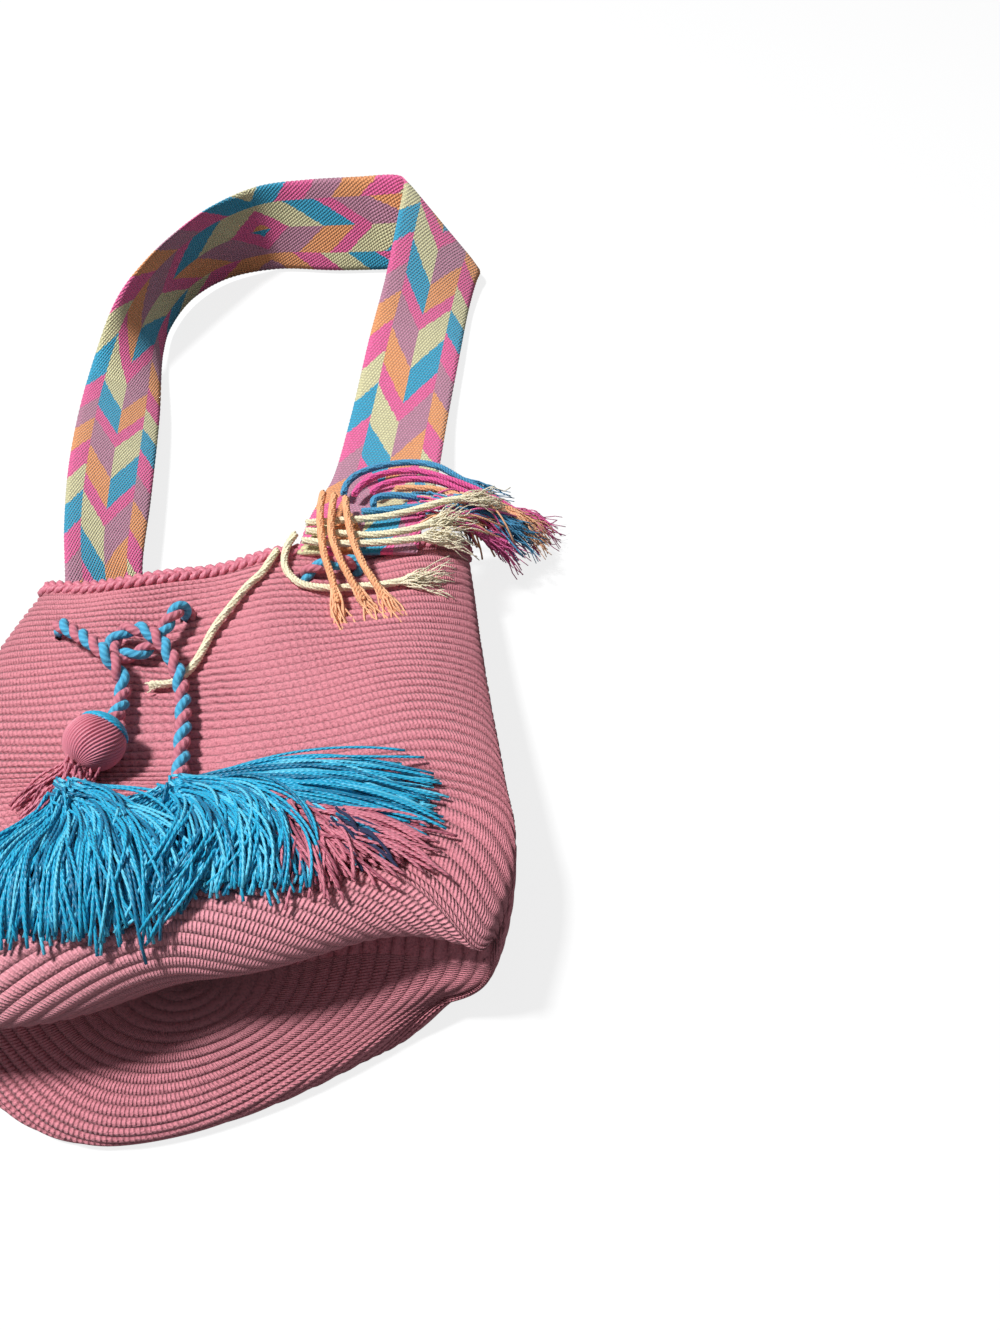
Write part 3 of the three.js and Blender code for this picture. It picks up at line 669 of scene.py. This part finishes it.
def crochetMaterial(look):
    material, wire = newMaterial("roseCrochet")
    across, row = uvOf(wire)
    phase = row.fract()
    groove = ((phase - 0.5) * 2.0).size() ** 3.0
    lean = across + row.floor() * look["stagger"] + phase * look["lean"]
    stitch = (lean * (2 * math.pi)).sine() * 0.5 + 0.5
    fuzz = speckle(wire, look["fuzzScale"], look["fuzzDetail"])
    patch = speckle(wire, look["patchScale"])
    dots = groove * (1.0 - stitch)  # small dark gaps between the stitches of two rows
    knots = (look["coarseRow"] - row).clip(0.0, look["coarseRows"]) * 0.05  # coarser stitches on the base
    height = (1.0 - groove) * (0.72 - knots + stitch * (0.28 + knots)) - dots * 0.4 + fuzz * 0.6
    # Painted shade: the colour darkens towards the dark rose in the grooves between rows and the gaps between
    # stitches, more on the base, standing in for their self-shadow; the fuzz term adds a random tone
    tone = 1.0 - groove * 0.2 - dots * 0.6 - (1.0 - stitch) * (0.12 + knots * 0.6) + (fuzz - 0.5) * 2.4
    shade = tone.clip(0.0, 1.0).mix(colour(*look["dark"]), colour(*look["light"]))
    faded = (patch * 0.3).mix(shade, colour(*look["patch"]))
    # Painted light: a paler rose is mixed onto the lip, in front of and above the fold
    lengthwise, upward = placeOf(wire).split((1, 2))
    onLip = ((look["lipY"] - lengthwise) * 40.0).clip(0.0, 1.0)
    aboveFold = ((upward - look["lipZ"]) * 50.0).clip(0.0, 1.0)
    paintedLipLight = onLip * aboveFold * (0.35 + 0.3 * stitch)  # painted light: the lip's top is made paler to stand in for light the lamp does not give it
    toneAndPaintedLipLight = paintedLipLight.mix(faded, colour(*look["toneAndPaintedLipLight"]))
    cloth(wire, toneAndPaintedLipLight, 0.92 - 0.05 * stitch, height, look["relief"], sheen=look["sheen"])
    return material


body = crochetBody([crochetMaterial(crochetLook)])
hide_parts("bag_body")


def punchEyelets(piece, setup):
    for x, y in eyelets:
        bpy.ops.object.select_all(action="DESELECT")
        bpy.ops.mesh.primitive_cylinder_add(
            vertices=setup["eyeletSides"], radius=setup["eyelet"] / 2 * mm, depth=setup["punchDepth"],
            location=(x * mm, y * mm, setup["punchHeight"]))
        punch = bpy.context.object
        cut = piece.modifiers.new("eyelet", "BOOLEAN")
        cut.operation = "DIFFERENCE"
        cut.solver = "EXACT"
        cut.object = punch
        bpy.context.view_layer.objects.active = piece
        bpy.ops.object.modifier_apply(modifier=cut.name)
        bpy.data.objects.remove(punch, do_unlink=True)


punchEyelets(body, bodySetup)


# Mouth edge: a braid of three yarns worked round the last row
edgeSetup = {"row": 56.3, "yarns": 3, "yarnRadius": 1.7, "swing": 2.9, "lift": 1.1, "pitch": 15.0, "sides": 6,
             "spacing": 1.2, "points": 400, "proud": 0.3, "lowest": 2.2}


def mouthBraid(setup, materials):
    angle = np.linspace(-math.pi / 2, 1.5 * math.pi, setup["points"])
    outward = wallNormal(setup["row"], angle)
    rim = wallPoint(setup["row"], angle) + outward * setup["proud"]
    rim[:, 2] = np.maximum(rim[:, 2], setup["lowest"])
    line = evenLine(rim * mm, int(lineLength(rim) / setup["spacing"]))
    ahead = framesAlong(line)[0]
    up = evenLine(outward, len(line))
    up = unit(up - ahead * (up * ahead).sum(1, keepdims=True))
    across = np.cross(ahead, up)
    s = np.linspace(0, lineLength(line) / mm, len(line))
    grids = []
    for k in range(setup["yarns"]):
        turn = 2 * math.pi * (s / setup["pitch"] + k / setup["yarns"])[:, None]
        offset = across * np.sin(turn) * setup["swing"] + up * np.sin(2 * turn) * setup["lift"]
        strand = line + offset * mm
        strand[:, 2] = np.maximum(strand[:, 2], setup["yarnRadius"] * mm)
        grids.append(tubeGrid(strand, setup["yarnRadius"] * mm, setup["sides"]))
    return gridsToMesh("mouthBraid", grids, materials)


braid = mouthBraid(edgeSetup, [yarns["tasselRose"]])
print("bag body crocheted")


# Shoulder strap: a woven band through its two edges, with chevrons set out from its middle
strapSetup = {"width": 60.0, "thick": 2.4, "rows": 900, "columns": 20, "scallop": 0.45,
              "scallopPitch": 3.4, "thinEdge": 0.35, "edgeRise": 6.0}
# How far along the weave each stretch is, counted both ways from the middle of the pattern
weaveAlong = ((0, 160.8, 265.5, 443, 507.7, 528.6, 640, 736.9, 802, 875.2, 957),
              (613.1, 452.3, 347.6, 138.2, 33.5, 0, 138.2, 242.9, 347.6, 452.3, 570.6))
strapEdges = [
    ((24, 128, 53.4), (83, 132, 50.4)), ((26, 150, 52.6), (85, 158, 48.6)), ((28, 181, 43), (87, 187, 37)),
    ((30, 214, 31), (88, 222, 23)), ((32, 289, 20), (91, 297, 10)), ((37, 370, 24), (97, 378, 7)),
    ((45, 433, 36), (102, 438, 6)), ((52, 492, 55), (107, 472, 8)), ((54, 513, 60), (109.5, 483, 9)),
    ((52.5, 525, 61), (106.5, 494, 8)), ((46, 530, 61), (97, 502, 5)), ((20, 527, 61), (58, 501, 3)),
    ((-18, 522, 61), (0, 498, 3)),
    ((-52, 512, 61), (-48, 500, 3)), ((-80, 480, 62), (-82, 485, 4)), ((-97, 446, 62), (-103, 455, 5)),
    ((-114, 405, 59), (-112, 415, 5)), ((-126, 369, 52), (-110, 380, 6)), ((-136, 317, 32), (-93, 296, 11)),
    ((-126, 235, 31), (-80, 216, 13)), ((-113, 176, 31), (-72, 160, 13)), ((-98, 124, 31), (-66, 132, 7)),
    ((-94, 100, 29), (-62, 104, 7)),
]


def strapBand(materials):
    setup = strapSetup
    left = np.array([pair[0] for pair in strapEdges], float)
    right = np.array([pair[1] for pair in strapEdges], float)
    shares = np.linspace(0, 1, setup["columns"] + 1)
    lines = np.stack([throughPoints(left + (right - left) * w, setup["rows"]) for w in shares], 1)
    steps = np.linalg.norm(np.diff(lines, axis=0), axis=2)
    lengths = np.vstack([np.zeros(len(shares)), np.cumsum(steps, 0)])
    fullLength = float(lengths[-1].mean())
    lengths = lengths * fullLength / lengths[-1]
    ahead = unit(np.gradient(lines, axis=0))
    across = unit(lines[:, -1:] - lines[:, :1])
    normal = unit(np.cross(np.broadcast_to(across, ahead.shape), ahead))
    wave = setup["scallop"] * np.abs(np.sin(math.pi * lengths / setup["scallopPitch"]))
    rim = np.zeros(len(shares))
    rim[0], rim[-1] = -1, 1
    lines = lines + across * (wave * rim)[..., None]
    crown = np.minimum(1, setup["thinEdge"] + setup["edgeRise"] * np.minimum(shares, 1 - shares))
    lift = normal * (setup["thick"] / 2 * crown)[None, :, None]
    loop = np.concatenate([lines + lift, (lines - lift)[:, ::-1]], 1) * mm
    shareLoop = np.concatenate([shares, shares[::-1], shares[:1]])
    weave = np.interp(lengths, *weaveAlong)
    lengthLoop = np.concatenate([weave, weave[:, ::-1], weave[:, :1]], 1)
    uv = np.stack(np.broadcast_arrays(shareLoop[None, :], lengthLoop), -1)
    band = gridsToMesh("shoulderStrap", [{"points": loop, "uv": uv}], materials)
    return band, fullLength


chevronSetup = {"period": 209.4, "start": 98.2, "depth": 40.0, "ragged": 2.4, "outerFrom": 0.3, "dash": 2.8,
                "dashes": 31.0, "paintedWeaveShade": (0.30, 0.26, 0.28, 1.0), "fuzzScale": 1600.0, "relief": 0.0011,
                "heights": ((0, 0.6), (0.2, 0), (0.5, 1), (0.8, 0), (1, 0.6))}
mauve, apricot, candy = colour(204, 144, 168), colour(252, 172, 116), colour(250, 112, 170)
straw, lagoon = colour(230, 224, 176), colour(62, 174, 212)
# Where each colour starts along one repeat, in mm on the two middle columns and in sixths on the outer ones
innerRun, outerRun = 209, 6
innerFields = ((0, mauve), (44, apricot), (82, candy), (105, straw), (148, lagoon), (187, candy))
outerFields = ((0, apricot), (1, candy), (2, straw), (3, lagoon), (4, candy), (5, mauve))


def strapMaterial(setup):
    material, wire = newMaterial("wovenChevrons")
    share, outward = uvOf(wire)
    zig = share.make("ShaderNodeValToRGB", {"between": "LINEAR", "stops": [
        (place, (height, height, height)) for place, height in setup["heights"]]}, {0: share})
    dashes, dashRows = share * setup["dashes"], outward * (1 / setup["dash"])
    dashRow = dashRows.floor()
    dashCell = (dashes + dashRow * 0.5).floor()
    jitter = ((dashCell * 12.9 + dashRow * 78.2).sine() * 43758.5).fract()
    rightHalf = share.calc("GREATER_THAN", 0.5)
    outerPart = (share - 0.5).size().calc("GREATER_THAN", setup["outerFrom"])
    zigzag = zig * setup["depth"] + setup["start"]
    place = (outward - zigzag + jitter * setup["ragged"]) * (1 / setup["period"])
    turn = (place + rightHalf * 0.5).fract()
    inner, outer = (turn.make("ShaderNodeValToRGB", {"between": "CONSTANT", "stops": [
        (at / run, shade[:3]) for at, shade in fields]}, {0: turn})
        for fields, run in ((innerFields, innerRun), (outerFields, outerRun)))
    field = outerPart.mix(inner, outer)
    crown = tent((dashes + dashRows * 0.5).fract())
    rung = tent(dashRows.fract())
    fuzz = speckle(wire, setup["fuzzScale"])
    height = (crown * 0.6 + 0.4) * (rung ** 0.6) + fuzz * 0.25
    # Painted shade: where the weave's height is low, between dashes and rows, the colour goes towards a
    # darker copy of the field; the jitter adds a random tone
    tone = height * 0.85 + jitter * 0.2 + 0.37
    paintedWeaveShade = field.make("ShaderNodeMix", {"data_type": "RGBA", "blend_type": "MULTIPLY"},
                     {0: 1.0, 6: field, 7: setup["paintedWeaveShade"]}, 2)
    cloth(wire, tone.mix(paintedWeaveShade, field), 0.9 - 0.08 * rung, height, setup["relief"])
    return material


strap, strapLength = strapBand([strapMaterial(chevronSetup)])
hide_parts("shoulder_strap")
print("strap woven, length", round(strapLength), "mm")


# Tassels: loose yarns that leave a neck, bend as they go and come to lie on the bag
heightSetup = {"cell": 4.0, "x": -160, "y": -150, "span": 320, "rows": 300, "columns": 420}


def heightMap(setup):
    rows = np.linspace(0.5, bodySetup["rows"], setup["rows"])
    angles = np.linspace(0.001, math.pi, setup["columns"])
    front = wallPoint(*np.meshgrid(rows, angles, indexing="ij")).reshape(-1, 3)
    cells = int(setup["span"] / setup["cell"])
    table = np.zeros((cells, cells))
    i = np.clip(((front[:, 0] - setup["x"]) / setup["cell"]).astype(int), 0, cells - 1)
    j = np.clip(((front[:, 1] - setup["y"]) / setup["cell"]).astype(int), 0, cells - 1)
    np.maximum.at(table, (i, j), front[:, 2])
    return table


heightTable = heightMap(heightSetup)


def heightAt(x, y):
    last = len(heightTable) - 1.001
    i = np.clip((x - heightSetup["x"]) / heightSetup["cell"] - 0.5, 0, last)
    j = np.clip((y - heightSetup["y"]) / heightSetup["cell"] - 0.5, 0, last)
    a, b = i.astype(int), j.astype(int)
    f, g = i - a, j - b
    return (heightTable[a, b] * (1 - f) * (1 - g) + heightTable[a + 1, b] * f * (1 - g)
            + heightTable[a, b + 1] * (1 - f) * g + heightTable[a + 1, b + 1] * f * g)


tasselSetup = {"yarnRadius": 0.62, "sides": 5, "points": 20, "wiggle": 0.17, "shades": (0.5, 0.25, 0.25),
               "clear": 0.6, "lipY": -69, "drop": 19, "dropX": 20, "dropWidth": 15, "ragged": 3}
blueYarns = [yarns["tasselBlue"], yarns["tasselPale"], yarns["tasselDeep"]]
roseYarns = [yarns["tasselRose"], yarns["tasselRose"], yarns["roseDeep"]]
navyYarns = [yarns["tasselNavy"], yarns["tasselNavy"], yarns["tasselDeep"]]


def lipEdge(x, setup):  # yarn stops behind the lip, further down at the left
    return setup["lipY"] - setup["drop"] * np.clip((setup["dropX"] - x) / setup["dropWidth"], 0, 1)


def yarnFan(fan, setup):
    t = np.linspace(0, 1, setup["points"])
    last = setup["points"] - 1
    grids = []
    for _ in range(fan["count"]):
        at = np.array(fan["from"], float) + rng.normal(size=3) * fan["neck"]
        length = rng.uniform(*fan["length"])
        leave, end = math.radians(rng.uniform(*fan["leave"])), math.radians(rng.uniform(*fan["end"]))
        sway = setup["wiggle"] * rng.normal() * np.sin(t * rng.uniform(3, 7) + rng.uniform(0, 6)) * t
        heading = leave + (end - leave) * t ** fan["bend"] + sway
        step = length / last
        x = at[0] + np.concatenate([[0], np.cumsum(np.cos(heading[1:]))]) * step
        y = at[1] + np.concatenate([[0], np.cumsum(np.sin(heading[1:]))]) * step
        past = y < fan.get("edge", lipEdge(x, setup)) + rng.normal() * setup["ragged"]
        if past.any():
            kept = max(4, int(np.argmax(past))) - 1
            x, y = (np.interp(t * kept / last, t, v) for v in (x, y))
        pile = rng.uniform(0, 1) ** 0.8 * fan["pile"]
        rise = pile * np.sin(math.pi * np.minimum(1, t * 0.8 + 0.15)) + rng.uniform(0, 1.5) * t
        ground = heightAt(x, y) + setup["yarnRadius"] + setup["clear"]
        hang = (1 - t) ** 3
        z = np.maximum(at[2] * hang + (ground + rise) * (1 - hang), ground)
        line = np.stack([x, y, z], 1) * mm
        shade = int(rng.choice(len(setup["shades"]), p=setup["shades"]))
        grids.append(tubeGrid(line, setup["yarnRadius"] * mm, setup["sides"], shade))
    return grids


def tasselPiece(name, fans, materials):
    return gridsToMesh(name, [grid for fan in fans for grid in yarnFan(fan, tasselSetup)], materials)


headSetup = {"place": (-40.0, 2.5, 68.0), "turn": -0.35, "radius": 12.4, "half": 11.8, "wraps": 44,
             "perWrap": 6, "slant": 0.5, "rings": 60, "groove": 0.085, "bandYarn": 0.95, "bandPoints": 48,
             "band": (0.62, 0.7, 0.77, 0.84, 0.9, 0.96)}


def woundHead(name, setup, material, band):
    wraps, rings = setup["wraps"], setup["rings"]
    c, s = math.cos(setup["turn"]), math.sin(setup["turn"])

    def placed(x, y, z):
        turned = np.stack(np.broadcast_arrays(x * c - y * s, x * s + y * c, z), -1)
        return (turned + np.array(setup["place"])) * mm

    polar = math.pi * (np.arange(rings) + 0.5)[:, None] / rings
    columns = wraps * setup["perWrap"]
    plain = 2 * math.pi * np.arange(columns)[None, :] / columns
    turn = plain + setup["slant"] * np.cos(polar)  # yarn wound a little aslant
    groove = setup["groove"] * (1 - np.abs(np.sin(wraps * plain / 2)) ** 0.6)
    radius = setup["radius"] * np.sin(polar) * (1 - groove)
    points = placed(radius * np.cos(turn), -setup["half"] * np.cos(polar), radius * np.sin(turn))[:, ::-1]
    edge = np.arange(columns + 1)[::-1] / (setup["perWrap"] * yarnLook["plies"])  # one ply for each wrap
    uv = np.stack(np.broadcast_arrays(edge[None, :], polar * 0.0), -1)
    grids = [{"points": points, "uv": uv}]
    around = np.linspace(0, 2 * math.pi, setup["bandPoints"])
    for share in setup["band"]:
        width = setup["radius"] * math.sqrt(1 - share**2)
        line = placed(width * np.cos(around), setup["half"] * share, width * np.sin(around))
        grids.append(tubeGrid(line, setup["bandYarn"] * mm, 6, 1))
    return gridsToMesh(name, grids, [material, band])


leftHead = woundHead("leftTasselHead", headSetup, yarns["tasselRose"], yarns["tasselBlue"])
leftSkirt = tasselPiece("leftTasselSkirt", [
    {"from": (-44, -8, 67), "neck": 2.6, "count": 130, "length": (17, 28),
     "leave": (-150, -75), "end": (-150, -95), "bend": 1.0, "pile": 8.0}], roseYarns)
leftYarn = tasselPiece("leftTasselYarn", [
    {"from": (-42, -25, 70), "neck": 3.2, "count": 400, "length": (54, 96),
     "leave": (-125, 4), "end": (-120, -56), "bend": 1.0, "pile": 13.0},
    {"from": (-40, -25, 71), "neck": 3.0, "count": 90, "length": (36, 64),
     "leave": (-25, 20), "end": (-110, -65), "bend": 0.8, "pile": 14.0}], blueYarns)
rightNeck = tasselPiece("rightTasselNeck", [
    {"from": (-3, -15, 65), "neck": 1.5, "count": 60, "length": (9, 13),
     "leave": (-95, -50), "end": (-80, -30), "bend": 1.0, "pile": 4.0}], blueYarns)
longLock = tasselPiece("rightTasselLongLock", [
    {"from": (-1, -20, 68), "neck": 2.2, "count": 210, "length": (66, 104),
     "leave": (-4, 24), "end": (-30, 2), "bend": 1.2, "pile": 11.0}], blueYarns)
lipLock = tasselPiece("rightTasselLipLock", [
    {"from": (0, -22, 69), "neck": 2.4, "count": 330, "length": (46, 92),
     "leave": (-45, 30), "end": (-150, -74), "bend": 1.1, "pile": 16.0},
    {"from": (-2, -22, 69), "neck": 2.4, "count": 150, "length": (34, 54),
     "leave": (-170, -50), "end": (-110, -65), "bend": 0.8, "pile": 10.0},
    {"from": (-12, -44, 82), "neck": 3.0, "count": 3, "length": (40, 48),
     "leave": (-110, -90), "end": (-105, -90), "bend": 1.0, "pile": 3.0, "edge": -88}], blueYarns)
pinkLock = tasselPiece("rightTasselPinkLock", [
    {"from": (38, -28, 68), "neck": 3.5, "count": 120, "length": (36, 70),
     "leave": (-32, 2), "end": (-40, -4), "bend": 1.0, "pile": 9.0},
    {"from": (44, -32, 69), "neck": 4.0, "count": 100, "length": (24, 46),
     "leave": (-60, -10), "end": (-100, -40), "bend": 0.8, "pile": 10.0}], roseYarns)
navyLock = tasselPiece("rightTasselNavyLock", [
    {"from": (62, -37, 71), "neck": 3.0, "count": 30, "length": (16, 30),
     "leave": (-50, -10), "end": (-70, -20), "bend": 1.0, "pile": 10.0}], navyYarns)
for piece, node, slot in (
        (leftHead, "left_tassel_head", "rose_yarn"), (leftSkirt, "left_tassel_skirt", "rose_yarn"),
        (leftYarn, "left_tassel_yarn", "blue_yarn"), (rightNeck, "right_tassel_neck", "blue_yarn"),
        (longLock, "right_tassel_long_lock", "blue_yarn"), (lipLock, "right_tassel_lip_lock", "blue_yarn"),
        (pinkLock, "right_tassel_pink_lock", "rose_yarn"), (navyLock, "right_tassel_navy_lock", "navy_yarn")):
    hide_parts(node)
print("tassels made")


# Floor and light
stageSetup = {"floorSize": 12.0, "floor": (0.93, 0.93, 0.93, 1.0), "under": (0.2, 0.2, 0.2, 1.0),
              "white": 0.82, "paper": (1.0, 1.0, 1.0, 1.0), "key": 128.0, "keySize": 0.4,
              "keyPlace": (-1.3, 0.12, 2.9), "keyAim": (0.0, 0.1, 0.0), "sky": (0.90, 0.93, 0.97, 1.0),
              "skyStrength": 0.22}


def makeStage(setup):
    bpy.ops.object.select_all(action="DESELECT")
    bpy.ops.mesh.primitive_plane_add(size=setup["floorSize"], location=(0.0, 0.0, 0.0))
    floor = bpy.context.object
    floor.name = "floor"
    material, wire = newMaterial("paleFloor")
    seen = wire.make("ShaderNodeLightPath")
    tint = seen.mix(setup["under"], setup["floor"])
    ground = wire.make("ShaderNodeBsdfPrincipled", inputs={"Base Color": tint, "Roughness": 0.8,
                                                          "Specular IOR Level": 0.1})
    paper = wire.make("ShaderNodeEmission", inputs={"Color": setup["paper"], "Strength": 1.0})
    both = wire.make("ShaderNodeMixShader", inputs={0: seen * setup["white"], 1: ground, 2: paper})
    wire.make("ShaderNodeOutputMaterial", inputs={"Surface": both})
    floor.data.materials.append(material)
    lamp = bpy.data.lights.new("key", "AREA")
    lamp.energy = setup["key"]
    lamp.size = setup["keySize"]
    key = bpy.data.objects.new("key", lamp)
    key.location = setup["keyPlace"]
    aim = np.array(setup["keyAim"]) - np.array(setup["keyPlace"])
    tilt = math.acos(-aim[2] / np.linalg.norm(aim))
    key.rotation_euler = (tilt, 0.0, math.atan2(aim[0], -aim[1]) + math.pi)
    bpy.context.collection.objects.link(key)
    world = bpy.data.worlds.new("studio")
    bpy.context.scene.world = world
    world.use_nodes = True
    world.node_tree.nodes.clear()
    air = Wire(world.node_tree)
    seenAir = air.make("ShaderNodeLightPath")
    sky = air.make("ShaderNodeBackground", inputs={"Color": setup["sky"], "Strength": setup["skyStrength"]})
    wall = air.make("ShaderNodeBackground", inputs={"Color": setup["paper"], "Strength": 1.0})
    backdrop = air.make("ShaderNodeMixShader", inputs={0: seenAir, 1: sky, 2: wall})
    air.make("ShaderNodeOutputWorld", inputs={"Surface": backdrop})
    bpy.context.scene.view_settings.view_transform = "Standard"


makeStage(stageSetup)
print("stage lit")
